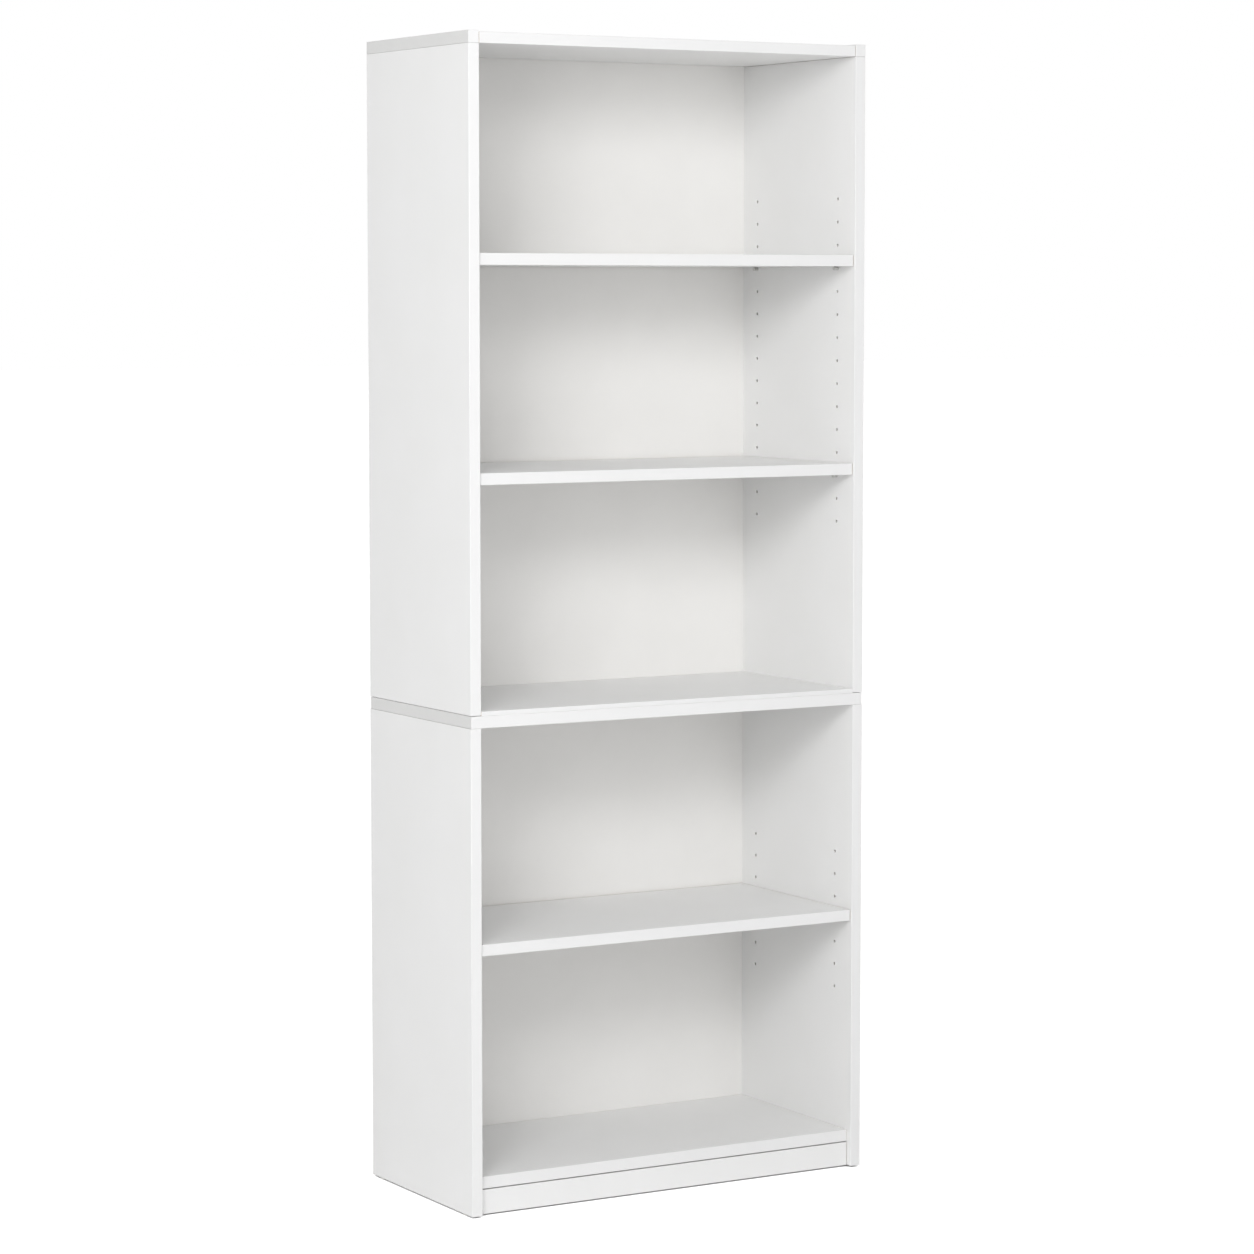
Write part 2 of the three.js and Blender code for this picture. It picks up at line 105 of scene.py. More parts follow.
# %% [markdown]
# ## One helper for every node
#
# Materials and Geometry Nodes are both trees of nodes, and a node is always added in the same way:
# make it, set its choices, then give each input a value or a link. One small function does that for
# both kinds of tree. Colours are written as on a paint chart, in sRGB hex. A renderer adds and
# multiplies light, so a second function turns them into linear light.

# %% Add a node, read a colour
def linear(hex_colour):
    """An sRGB colour such as #EEEEEE as linear red, green, blue and alpha."""
    parts = [int(hex_colour[place : place + 2], 16) / 255 for place in (1, 3, 5)]
    light = [part / 12.92 if part <= 0.04045 else ((part + 0.055) / 1.055) ** 2.4 for part in parts]
    return (*light, 1)


def add_node(tree, kind, inputs=None, **choices):
    """Adds a node with its choices, such as operation="MULTIPLY".

    inputs holds its sockets by name or place. Each takes a plain value, a hex colour, a link from an
    output, or a node, which stands for that node's first output.
    """
    node = tree.nodes.new(kind)
    for choice, value in choices.items():
        setattr(node, choice, value)
    for socket, value in (inputs or {}).items():
        if isinstance(value, bpy.types.Node):
            value = value.outputs[0]
        if isinstance(value, bpy.types.NodeSocket):
            tree.links.new(value, node.inputs[socket])
        elif isinstance(value, str) and value.startswith("#"):
            node.inputs[socket].default_value = linear(value)
        else:
            node.inputs[socket].default_value = value
    return node


print("a white board in linear light:", [round(part, 3) for part in linear("#EEEEEE")])

# %% [markdown]
# ## How a material starts
#
# Every finish starts from the object's own coordinates. They are metres here, so a pattern's scale is
# one divided by a real size. A noise texture stays mostly between 0.3 and 0.7, which is why two
# colours that it mixes are written a little further apart than the eye sees them. In a colour mix,
# socket 6 is the colour at 0, socket 7 the colour at 1, and output 2 the result.

# %% Start a material
def new_material(name):
    """An empty material, its tree, and the coordinates that its patterns read."""
    material = bpy.data.materials.new(name)
    material.use_nodes = True
    material.node_tree.nodes.clear()
    place = add_node(material.node_tree, "ShaderNodeTexCoord").outputs["Object"]
    return material, material.node_tree, place


# %% [markdown]
# ## White melamine faces
#
# The faces of the boards are paper soaked in melamine resin, pressed onto the chipboard by a steel
# plate with a fine pearl texture. The eye sees a satin white that breaks reflections up into a soft
# glow, with no grain. The pearl is about 1 mm across, too fine to show from where the camera stands,
# so it is drawn 3 mm wide. The chips under the paper show through as a very slight waviness, and the
# tone of the print drifts by one or two parts in a hundred over a hand's width.

# %% Melamine
PEARL = 3 * MM
PEARL_DEPTH = 0.02 * MM
CHIP_WAVE = 14 * MM
CHIP_WAVE_DEPTH = 0.05 * MM
TONE_PATCH = 120 * MM
MELAMINE_IOR = 1.5
SATIN_SPREAD = 0.08


def melamine(name, light, dark, roughness, pearl):
    material, tree, place = new_material(name)
    patch = add_node(tree, "ShaderNodeTexNoise", {"Vector": place, "Scale": 1 / TONE_PATCH})
    tone = add_node(tree, "ShaderNodeMix", {"Factor": patch, 6: light, 7: dark}, data_type="RGBA")
    fine = add_node(tree, "ShaderNodeTexNoise", {"Vector": place, "Scale": 1 / pearl})
    satin = add_node(
        tree,
        "ShaderNodeMapRange",
        {"Value": fine, "To Min": roughness - SATIN_SPREAD, "To Max": roughness + SATIN_SPREAD},
    )
    wave = add_node(tree, "ShaderNodeTexNoise", {"Vector": place, "Scale": 1 / CHIP_WAVE})
    wave_height = add_node(tree, "ShaderNodeMath", {0: wave, 1: CHIP_WAVE_DEPTH}, operation="MULTIPLY")
    height = add_node(
        tree, "ShaderNodeMath", {0: fine, 1: PEARL_DEPTH, 2: wave_height}, operation="MULTIPLY_ADD"
    )
    bump = add_node(tree, "ShaderNodeBump", {"Height": height, "Distance": 1.0})
    shader = add_node(
        tree,
        "ShaderNodeBsdfPrincipled",
        {"Base Color": tone.outputs[2], "Roughness": satin, "IOR": MELAMINE_IOR, "Normal": bump},
    )
    add_node(tree, "ShaderNodeOutputMaterial", {"Surface": shader})
    return material


face = melamine("White melamine, pearl pressed", "#EEEEEE", "#EAEAE9", 0.46, PEARL)
print("made", face.name)

# %% [markdown]
# ## Edging
#
# Saws leave bare chipboard, so a strip of white ABS half a millimetre thick is glued on each edge
# that shows, and scraped round at its arrises. It comes off a roll, so it is smoother than the pressed
# faces, and its white never quite matches theirs. The edges at the joints, such as the tops and feet
# of the sides and the ends of the middle board, have ironed-on paper edging, drawn a little greyer
# than the faces.

# %% Edge strips
ROLLED = 5 * MM
edging = melamine("White ABS edging, rolled smooth", "#ECECEC", "#E8E8E8", 0.38, ROLLED)
end_paper = melamine("White paper edging, ironed on", "#DEDEDD", "#D8D8D7", 0.5, PEARL)
print("made", edging.name, "and", end_paper.name)

# %% [markdown]
# ## Bare chipboard
#
# Rear edges, rebates, the ends of the boards between the sides and the walls of bores are never edged.
# They show pressed wood chips 1 to 4 mm long in resin, straw to brown, with small dark gaps between
# them. Voronoi cells give each chip its own colour, and a finer noise lays dust and gaps over them. The
# pin holes of this case look pale grey inside, so their walls have a paler finish of their own.

# %% Chipboard
CHIP = 3 * MM
CHIP_DUST = 0.8 * MM
CHIP_DEPTH = 0.15 * MM
GAP_START, GAP_SHARE = 0.45, 0.8
SAWN_ROUGHNESS = 0.85


def chipboard(name, straw, brown, gap):
    material, tree, place = new_material(name)
    cells = add_node(tree, "ShaderNodeTexVoronoi", {"Vector": place, "Scale": 1 / CHIP})
    shade = add_node(tree, "ShaderNodeSeparateColor", {"Color": cells.outputs["Color"]})
    chip = add_node(tree, "ShaderNodeMix", {"Factor": shade, 6: straw, 7: brown}, data_type="RGBA")
    dust = add_node(tree, "ShaderNodeTexNoise", {"Vector": place, "Scale": 1 / CHIP_DUST, "Detail": 3.0})
    gap_range = {"Value": dust, "From Min": GAP_START, "To Max": GAP_SHARE}
    gaps = add_node(tree, "ShaderNodeMapRange", gap_range)
    mixed = {"Factor": gaps, 6: chip.outputs[2], 7: gap}
    colour = add_node(tree, "ShaderNodeMix", mixed, data_type="RGBA")
    bump = add_node(tree, "ShaderNodeBump", {"Height": cells, "Distance": CHIP_DEPTH})
    shader = add_node(
        tree,
        "ShaderNodeBsdfPrincipled",
        {"Base Color": colour.outputs[2], "Roughness": SAWN_ROUGHNESS, "Normal": bump},
    )
    add_node(tree, "ShaderNodeOutputMaterial", {"Surface": shader})
    return material


raw = chipboard("Bare chipboard, sawn", "#CDB187", "#9C7C55", "#6E5435")
dusty = chipboard("Bare chipboard, bored and dusty", "#DEDDDB", "#C8C6C3", "#ABA9A6")
print("made", raw.name, "and", dusty.name)

# %% [markdown]
# ## Hardboard for the back
#
# The two back panels are 3 mm hardboard. The front is rolled with thin white paint over smooth pressed
# fibre, flatter and slightly warmer than melamine. The rear is bare and brown, and carries the print
# of the wire mesh that the wet fibre was pressed on. Real wires are about 1.5 mm apart, and they are
# drawn 3 mm apart so that they show. A wave texture repeats 20 / (2 pi) times for each unit of its
# scale, so the scale of one wave for each wire is 2 pi / 20 divided by the spacing.

# %% Painted front and bare rear
PAINT_PATCH = 90 * MM
FIBRE = 2.5 * MM
FIBRE_DEPTH = 0.03 * MM
FIBRE_CLUMP = 8 * MM
WIRE_SPACING = 3 * MM
WIRE_SCALE = 2 * math.pi / 20 / WIRE_SPACING
WIRE_DEPTH = 0.2 * MM
WIRE_WANDER = 0.4
# How far the grooves of the mesh print are darkened, as painted shade.
PAINTED_GROOVE_SHADE = 0.35
HARDBOARD_IOR = 1.5
LEAST_MATT, MOST_MATT = 0.45, 0.65
BARE_ROUGHNESS = 0.8


def painted_hardboard():
    material, tree, place = new_material("White paint on hardboard, rolled")
    patch = add_node(tree, "ShaderNodeTexNoise", {"Vector": place, "Scale": 1 / PAINT_PATCH, "Detail": 3.0})
    tone = add_node(tree, "ShaderNodeMix", {"Factor": patch, 6: "#F4F3F1", 7: "#EEEDEB"}, data_type="RGBA")
    fibre = add_node(tree, "ShaderNodeTexNoise", {"Vector": place, "Scale": 1 / FIBRE, "Detail": 4.0})
    matt = add_node(tree, "ShaderNodeMapRange", {"Value": fibre, "To Min": LEAST_MATT, "To Max": MOST_MATT})
    bump = add_node(tree, "ShaderNodeBump", {"Height": fibre, "Distance": FIBRE_DEPTH})
    shader = add_node(
        tree,
        "ShaderNodeBsdfPrincipled",
        {"Base Color": tone.outputs[2], "Roughness": matt, "IOR": HARDBOARD_IOR, "Normal": bump},
    )
    add_node(tree, "ShaderNodeOutputMaterial", {"Surface": shader})
    return material


def bare_hardboard():
    material, tree, place = new_material("Bare hardboard, mesh pressed")
    wires = [
        add_node(
            tree,
            "ShaderNodeTexWave",
            {"Vector": place, "Scale": WIRE_SCALE, "Distortion": WIRE_WANDER},
            bands_direction=direction,
        )
        for direction in ("X", "Z")
    ]
    crossing = {0: wires[0].outputs["Fac"], 1: wires[1].outputs["Fac"]}
    mesh_print = add_node(tree, "ShaderNodeMath", crossing, operation="MAXIMUM")
    clump = add_node(tree, "ShaderNodeTexNoise", {"Vector": place, "Scale": 1 / FIBRE_CLUMP, "Detail": 6.0})
    brown = add_node(tree, "ShaderNodeMix", {"Factor": clump, 6: "#BD9A6E", 7: "#8A6945"}, data_type="RGBA")
    # Painted shade: the rear is mixed towards a darker brown in the low grooves of the mesh print, where
    # shade would fall.
    painted_groove_shade = add_node(tree, "ShaderNodeMapRange", {"Value": mesh_print, "To Min": PAINTED_GROOVE_SHADE, "To Max": 0.0})
    colour = add_node(
        tree, "ShaderNodeMix", {"Factor": painted_groove_shade, 6: brown.outputs[2], 7: "#7A5B3B"}, data_type="RGBA"
    )
    bump = add_node(tree, "ShaderNodeBump", {"Height": mesh_print, "Distance": WIRE_DEPTH})
    shader = add_node(
        tree,
        "ShaderNodeBsdfPrincipled",
        {"Base Color": colour.outputs[2], "Roughness": BARE_ROUGHNESS, "Normal": bump},
    )
    add_node(tree, "ShaderNodeOutputMaterial", {"Surface": shader})
    return material


paint = painted_hardboard()
bare_back = bare_hardboard()
print("made", paint.name, "and", bare_back.name)

# %% [markdown]
# ## Metal, wood and plastic fittings
#
# The pins and bolts are steel with bright nickel plating, which shows soft marks from the tumbling
# barrel. The cams are cast zinc, duller and grainy. Nails are plain drawn steel, left bright. The
# dowels are beech, and the glides are cloudy polythene. Each is one noise that drives colour, gloss
# and a little relief, so one function makes the five.

# %% Fittings
def fitting_finish(name, light, dark, roughness, grain, relief, metallic):
    """A finish with soft marks of one size. The shader's default IOR suits metal and plastic alike."""
    material, tree, place = new_material(name)
    marks = add_node(tree, "ShaderNodeTexNoise", {"Vector": place, "Scale": 1 / grain, "Detail": 3.0})
    colour = add_node(tree, "ShaderNodeMix", {"Factor": marks, 6: light, 7: dark}, data_type="RGBA")
    gloss = add_node(
        tree,
        "ShaderNodeMapRange",
        {"Value": marks, "To Min": roughness - SATIN_SPREAD, "To Max": roughness + SATIN_SPREAD},
    )
    bump = add_node(tree, "ShaderNodeBump", {"Height": marks, "Distance": relief})
    shader = add_node(
        tree,
        "ShaderNodeBsdfPrincipled",
        {"Base Color": colour.outputs[2], "Metallic": metallic, "Roughness": gloss, "Normal": bump},
    )
    add_node(tree, "ShaderNodeOutputMaterial", {"Surface": shader})
    return material


nickel = fitting_finish("Bright nickel on steel", "#E4E4E2", "#C2C2C0", 0.34, 2 * MM, 0.01 * MM, 1.0)
zinc = fitting_finish("Cast zinc, tumbled", "#B0B2B5", "#7E8084", 0.48, 1 * MM, 0.03 * MM, 1.0)
nail_steel = fitting_finish("Bright nail steel", "#BBB9B4", "#8B8985", 0.4, 1 * MM, 0.02 * MM, 1.0)
beech = fitting_finish("Beech, turned", "#DDBB8F", "#B0875A", 0.6, 1.2 * MM, 0.05 * MM, 0.0)
glide_plastic = fitting_finish("Polythene, moulded", "#E4E3DE", "#D2D1CB", 0.5, 5 * MM, 0.05 * MM, 0.0)
for made in (nickel, zinc, nail_steel, beech, glide_plastic):
    print("made", made.name)

# %% [markdown]
# ## Boards with rounded arrises
#
# A board is a flat outline raised from one height to another. What makes it look real is its arris,
# the edge where two faces meet: edging machines round it to a little under a millimetre, and that
# thin curve catches a bright line of light. A bevel modifier could add it, but the outline of the
# sides has a rebate with crisp inner corners, so the rounding is worked out here instead. The outline
# is drawn again and again, a little further in each time, while its height follows a quarter circle.

# %% Round an outline, raise it to a board
ARRIS_STEPS = 4
WELD = 1e-6


def quarter_turns():
    """Angles from 0 to a quarter turn, in the steps that round an edge."""
    return [math.pi / 2 * step / ARRIS_STEPS for step in range(ARRIS_STEPS + 1)]


def inset_outline(corners, inset):
    """Points of an outline of square corners, drawn anticlockwise, a distance further in.

    A corner is (x, y, radius). A corner with a radius gets the arc that is left at that inset.
    """
    points = []
    for place, (x, y, radius) in enumerate(corners):
        before = Vector(corners[place - 1][:2])
        after = Vector(corners[(place + 1) % len(corners)][:2])
        arriving = (Vector((x, y)) - before).normalized()
        leaving = (after - Vector((x, y))).normalized()
        inwards = Vector((-arriving.y - leaving.y, arriving.x + leaving.x))
        corner = Vector((x, y)) + inset * inwards
        if not radius:
            points += [corner] * (ARRIS_STEPS + 1)
            continue
        left = max(radius - inset, 0)
        centre = corner - left * arriving + left * leaving
        points += [
            centre - left * math.cos(turn) * leaving + left * math.sin(turn) * arriving
            for turn in quarter_turns()
        ]
    return points


def raise_board(corners, low, high, arris):
    """A closed mesh of an outline between two heights, its end edges rounded too."""
    drops = [(arris * (1 - math.cos(turn)), arris * (1 - math.sin(turn))) for turn in quarter_turns()]
    levels = [(inset, low + drop) for inset, drop in reversed(drops)]
    levels += [(inset, high - drop) for inset, drop in drops]
    board = bmesh.new()
    loops = []
    for inset, height in levels:
        outline = inset_outline(corners, inset)
        loops.append([board.verts.new((point.x, point.y, height)) for point in outline])
    for lower, upper in zip(loops, loops[1:]):
        for place in range(len(lower)):
            following = (place + 1) % len(lower)
            board.faces.new((lower[place], lower[following], upper[following], upper[place]))
    board.faces.new(list(reversed(loops[0])))
    board.faces.new(loops[-1])
    bmesh.ops.remove_doubles(board, verts=board.verts, dist=WELD)
    bmesh.ops.recalc_face_normals(board, faces=board.faces)
    return board


# %% [markdown]
# ## Which side of a board a face is on
#
# Each side of a board has its own finish: melamine on the broad faces, edging in front, bare
# chipboard behind. The direction that a face looks in says which side it belongs to, and half of each
# rounded arris goes with each of its two neighbours, just as edging is scraped flush.

# %% Give each side of a board its finish
SIDES = {
    "left": Vector((-1, 0, 0)),
    "right": Vector((1, 0, 0)),
    "front": Vector((0, -1, 0)),
    "rear": Vector((0, 1, 0)),
    "underside": Vector((0, 0, -1)),
    "top": Vector((0, 0, 1)),
}


def looks_towards(normal):
    return max(SIDES, key=lambda side: normal.dot(SIDES[side]))


def finish_sides(board, finishes):
    """Numbers the faces by the finish of their side, and gives the finishes in that order."""
    order = list(dict.fromkeys(finishes.values()))
    for one_face in board.faces:
        one_face.material_index = order.index(finishes[looks_towards(one_face.normal)])
    return order


def make_piece(name, mesh_in_work, materials):
    """An object at the origin from a mesh in work, with its materials."""
    mesh = bpy.data.meshes.new(name)
    mesh_in_work.to_mesh(mesh)
    mesh_in_work.free()
    for material in materials:
        mesh.materials.append(material)
    piece = bpy.data.objects.new(name, mesh)
    bpy.context.scene.collection.objects.link(piece)
    return piece


def stand_for(piece, node):
    """The piece moves with its CAD node's body, and is shown instead of that node."""
    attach(piece, frame["nodes"][node]["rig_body"])
    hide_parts(node)


# %% [markdown]
# ## Drilling, with Geometry Nodes
#
# Holes are what this case repeats most: two columns of pin holes in each side, and bores for dowels,
# bolts, cams and nails. A machine drills them in a grid, and one Geometry Nodes tree does the same
# here. It makes a line of points, copies it along a second line into a grid, stands a drill on each
# point, and takes the drills away from the board. The walls of the holes are named with an attribute
# on the drills before the cut, which lets the tree finish them in bare chipboard after it. The name
# is then wiped, or the next drilling of the same board would finish these walls again.

# %% Build the drilling tree
def new_geometry_tree(name, sizes):
    """A tree with a geometry input and output, and a named input for each size. Returns its inputs too."""
    tree = bpy.data.node_groups.new(name, "GeometryNodeTree")
    tree.is_modifier = True
    tree.interface.new_socket(name="Geometry", in_out="OUTPUT", socket_type="NodeSocketGeometry")
    for size, kind in {"Geometry": "Geometry", **sizes}.items():
        tree.interface.new_socket(name=size, in_out="INPUT", socket_type="NodeSocket" + kind)
    return tree, add_node(tree, "NodeGroupInput").outputs


DRILL_SIZES = {
    "First Hole": "Vector",
    "Columns": "Int",
    "Column Step": "Vector",
    "Rows": "Int",
    "Row Step": "Vector",
    "Drill Turn": "Vector",
    "Drill Radius": "Float",
    "Drill Length": "Float",
    "Drill Facets": "Int",
    "Hole Wall": "Material",
}


def drilling_tree():
    tree, given = new_geometry_tree("Drilled grid of holes", DRILL_SIZES)
    columns = add_node(
        tree,
        "GeometryNodeMeshLine",
        {"Count": given["Columns"], "Start Location": given["First Hole"], "Offset": given["Column Step"]},
    )
    rows = add_node(tree, "GeometryNodeMeshLine", {"Count": given["Rows"], "Offset": given["Row Step"]})
    row_copies = add_node(tree, "GeometryNodeInstanceOnPoints", {"Points": columns, "Instance": rows})
    grid = add_node(tree, "GeometryNodeRealizeInstances", {"Geometry": row_copies})
    drill = add_node(
        tree,
        "GeometryNodeMeshCylinder",
        {
            "Vertices": given["Drill Facets"],
            "Radius": given["Drill Radius"],
            "Depth": given["Drill Length"],
        },
    )
    marked = add_node(
        tree,
        "GeometryNodeStoreNamedAttribute",
        {"Geometry": drill, "Name": "drilled", "Value": True},
        data_type="BOOLEAN",
        domain="FACE",
    )
    turn = add_node(tree, "FunctionNodeEulerToRotation", {"Euler": given["Drill Turn"]})
    placed = {"Points": grid, "Instance": marked, "Rotation": turn}
    drills = add_node(tree, "GeometryNodeInstanceOnPoints", placed)
    solid_drills = add_node(tree, "GeometryNodeRealizeInstances", {"Geometry": drills})
    cut = add_node(
        tree,
        "GeometryNodeMeshBoolean",
        {"Mesh 1": given["Geometry"], "Mesh 2": solid_drills},
        operation="DIFFERENCE",
        solver="EXACT",
    )
    whole = add_node(tree, "GeometryNodeRealizeInstances", {"Geometry": cut})
    drilled = add_node(tree, "GeometryNodeInputNamedAttribute", {"Name": "drilled"}, data_type="BOOLEAN")
    wall = {"Geometry": whole, "Selection": drilled, "Material": given["Hole Wall"]}
    walled = add_node(tree, "GeometryNodeSetMaterial", wall)
    unmarked = {"Geometry": walled, "Name": "drilled"}
    add_node(tree, "NodeGroupOutput", {"Geometry": add_node(tree, "GeometryNodeRemoveAttribute", unmarked)})
    return tree


drilling = drilling_tree()
print("built", drilling.name, "with", len(drilling.nodes), "nodes")

# %% [markdown]
# A modifier knows the tree's inputs by hidden identifiers, not by name, so a helper looks them up. A
# fastener's own box says where its hole goes: the longest side of the box is the drill's axis, and a
# front and a rear fastener make a row of two. That is right for dowels and bolts. It is wrong for cams
# and glides, a known fault: a cam is wider than it is tall and a glide just as wide, so their bores lie
# on their sides. The opening over a cam is then a slot about 10 mm wide instead of a round pocket.

# %% Use the tree on a board
FASTENER_GAP = 0.3 * MM
BORE_FACETS = 16
DRILL_TURNS = [(0, math.pi / 2, 0), (math.pi / 2, 0, 0), (0, 0, 0)]  # the drill's axis on X, Y or Z


def add_geometry_modifier(piece, tree, **values):
    """A modifier whose inputs are set by their identifiers before it is first evaluated."""
    modifier = piece.modifiers.new(tree.name, "NODES")
    modifier.node_group = tree
    sockets = [item for item in tree.interface.items_tree if item.in_out == "INPUT"]
    identifiers = {socket.name.replace(" ", "_"): socket.identifier for socket in sockets}
    for name, value in values.items():
        modifier[identifiers[name]] = value


def settle(piece):
    """Turns what the modifiers make into the piece's own plain mesh."""
    bpy.context.view_layer.update()
    evaluated = piece.evaluated_get(bpy.context.evaluated_depsgraph_get())
    made = bpy.data.meshes.new_from_object(evaluated)
    piece.modifiers.clear()
    drawn = piece.data
    piece.data = made
    bpy.data.meshes.remove(drawn)
    made.name = piece.name


def drill_for(piece, fasteners, radius, facets=BORE_FACETS):
    """Bores for fasteners of one kind, along each one's whole length."""
    boxes = [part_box(fastener) for fastener in fasteners]
    centres = [(low + high) / 2 for low, high in boxes]
    size = boxes[0][1] - boxes[0][0]
    along = max(range(3), key=lambda axis: size[axis])
    add_geometry_modifier(
        piece,
        drilling,
        First_Hole=centres[0],
        Columns=len(centres),
        Column_Step=centres[-1] - centres[0],
        Rows=1,
        Row_Step=(0.0, 0.0, 0.0),
        Drill_Turn=DRILL_TURNS[along],
        Drill_Radius=radius,
        Drill_Length=size[along] + 2 * FASTENER_GAP,
        Drill_Facets=facets,
        Hole_Wall=raw,
    )


def front_and_rear(fastener, side):
    return [f"{fastener}_{end}_{side}" for end in ("front", "rear")]


# %% [markdown]
# ## Boards across the case
#
# Eight boards lie across the case: the kick board, the fixed bottom shelf, the middle board that the
# upper box stands on, the thin floor panel on it, the top panel, and the three loose shelves. All are
# plain rectangles, so one function makes them from the boxes of their CAD nodes. They differ in which
# edges are finished, in how fine their arrises are, and in their bores. The CAD nodes stand 0.3 mm apart
# so that none of them overlap. Real boards are pulled tight, so at most joints one of the two boards is
# drawn 0.2 mm into that gap, and the joint shows as a fine groove between two arrises.

# %% Make the boards across the case
BOARD_ARRIS = 0.8 * MM
FINE_ARRIS = 0.3 * MM
TOUCH = 0.2 * MM
CAM_BORE = 7.8 * MM
CAM_BORE_FACETS = 48
BOLT_BORE = 4.1 * MM
THREAD_BORE = 2.7 * MM
DOWEL_BORE = 4.3 * MM
SHELF = {"left": raw, "right": raw, "front": edging, "rear": raw, "underside": face, "top": face}
BOARD_FINISHES = {
    "kick_board": {**SHELF, "front": face, "rear": face, "underside": end_paper, "top": end_paper},
    "bottom_shelf": SHELF,
    "middle_board": {**SHELF, "left": end_paper, "right": end_paper},
    "upper_floor_panel": SHELF,
    "top_panel": SHELF,
    "lower_shelf": SHELF,
    "centre_shelf": SHELF,
    "upper_shelf": SHELF,
}
NO_REACH = (0, 0, 0)


def rectangle(low, high, radius):
    corners = [(low.x, low.y), (high.x, low.y), (high.x, high.y), (low.x, high.y)]
    return [(x, y, radius) for x, y in corners]


def board_across(node, finishes, arris=BOARD_ARRIS, reach=NO_REACH):
    """A rectangular board. reach is how far it is drawn past its node: at each end, below and above."""
    low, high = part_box(node)
    ends, below, above = reach
    low = low - Vector((ends, 0, below))
    high = high + Vector((ends, 0, above))
    board = raise_board(rectangle(low, high, arris), low.z, high.z, arris)
    order = finish_sides(board, finishes)
    return make_piece(node + "_faced", board, order)


REACH = {
    "kick_board": (TOUCH, 0, 0),
    "bottom_shelf": (TOUCH, 0, 0),
    "upper_floor_panel": (TOUCH, TOUCH, 0),
    "top_panel": (TOUCH, 0, 0),
}
ARRISES = {"kick_board": FINE_ARRIS, "upper_floor_panel": FINE_ARRIS}
boards = {
    node: board_across(node, finishes, ARRISES.get(node, BOARD_ARRIS), REACH.get(node, NO_REACH))
    for node, finishes in BOARD_FINISHES.items()
}
for side in ("left", "right"):
    drill_for(boards["kick_board"], [f"kick_dowel_{side}"], DOWEL_BORE)
    drill_for(boards["middle_board"], front_and_rear("middle_dowel", side), DOWEL_BORE)
    for board_name, level in {"bottom_shelf": "bottom", "top_panel": "top"}.items():
        drill_for(boards[board_name], front_and_rear(level + "_bolt", side), BOLT_BORE)
        drill_for(boards[board_name], front_and_rear(level + "_cam", side), CAM_BORE, CAM_BORE_FACETS)
for node, board in boards.items():
    settle(board)
    stand_for(board, node)
    print(board.name, len(board.data.polygons), "faces")

# %% [markdown]
# ## Sides and end blocks
#
# The sides have one more shape than the boards: a rebate along the rear inner edge, where the back
# panel lies. Its two faces are sawn through the melamine, so they are bare. Two columns of blind
# holes run up the inner face of each side, with 36.8 mm from one hole to the next, and the drilling
# tree cuts them as a grid. The row that carries a shelf is known from that shelf's pins, and the other
# rows are counted from it.

# %% Make the uprights
REBATE_WIDTH = 8 * MM
REBATE_DEPTH = 7 * MM
GLIDE_BORE = 1.5 * MM
PIN_HOLE = {"radius": 2.5 * MM, "depth": 10 * MM, "pitch": 36.8 * MM, "facets": 24}
HOLE_ROWS = {
    "lower": {"lowest": "lower_shelf", "below": 3, "highest": "lower_shelf", "above": 3},
    "upper": {"lowest": "centre_shelf", "below": 2, "highest": "upper_shelf", "above": 3},
}
HANDS = {"left": -1, "right": 1}
UPRIGHT = {
    "left": face,
    "right": face,
    "front": edging,
    "rear": raw,
    "underside": end_paper,
    "top": end_paper,
}


def upright_outline(inner, outer, front, rear, hand):
    """The section of a side, anticlockwise from its inner front corner, with its rebate."""
    right_hand = [
        (inner, front, BOARD_ARRIS),
        (outer, front, BOARD_ARRIS),
        (outer, rear, BOARD_ARRIS),
        (inner + REBATE_WIDTH, rear, 0),
        (inner + REBATE_WIDTH, rear - REBATE_DEPTH, 0),
        (inner, rear - REBATE_DEPTH, 0),
    ]
    if hand > 0:
        return right_hand
    return [(-x, y, radius) for x, y, radius in reversed(right_hand)]


def upright(node, hand, finishes, below=TOUCH, above=TOUCH):
    low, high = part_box(node)
    low.z -= below
    high.z += above
    inner, outer = sorted((abs(low.x), abs(high.x)))
    corners = upright_outline(inner, outer, low.y, high.y, hand)
    board = raise_board(corners, low.z, high.z, BOARD_ARRIS)
    order = finish_sides(board, finishes)
    in_rebate = [
        one_face
        for one_face in board.faces
        if one_face.calc_center_median().y > high.y - REBATE_DEPTH
        and looks_towards(one_face.normal) == ("left" if hand > 0 else "right")
    ]
    for one_face in in_rebate:
        one_face.material_index = order.index(raw)
    return make_piece(node + "_faced", board, order)


def pin_height(shelf):
    low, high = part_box(shelf + "_pin_front_left")
    return (low.z + high.z) / 2


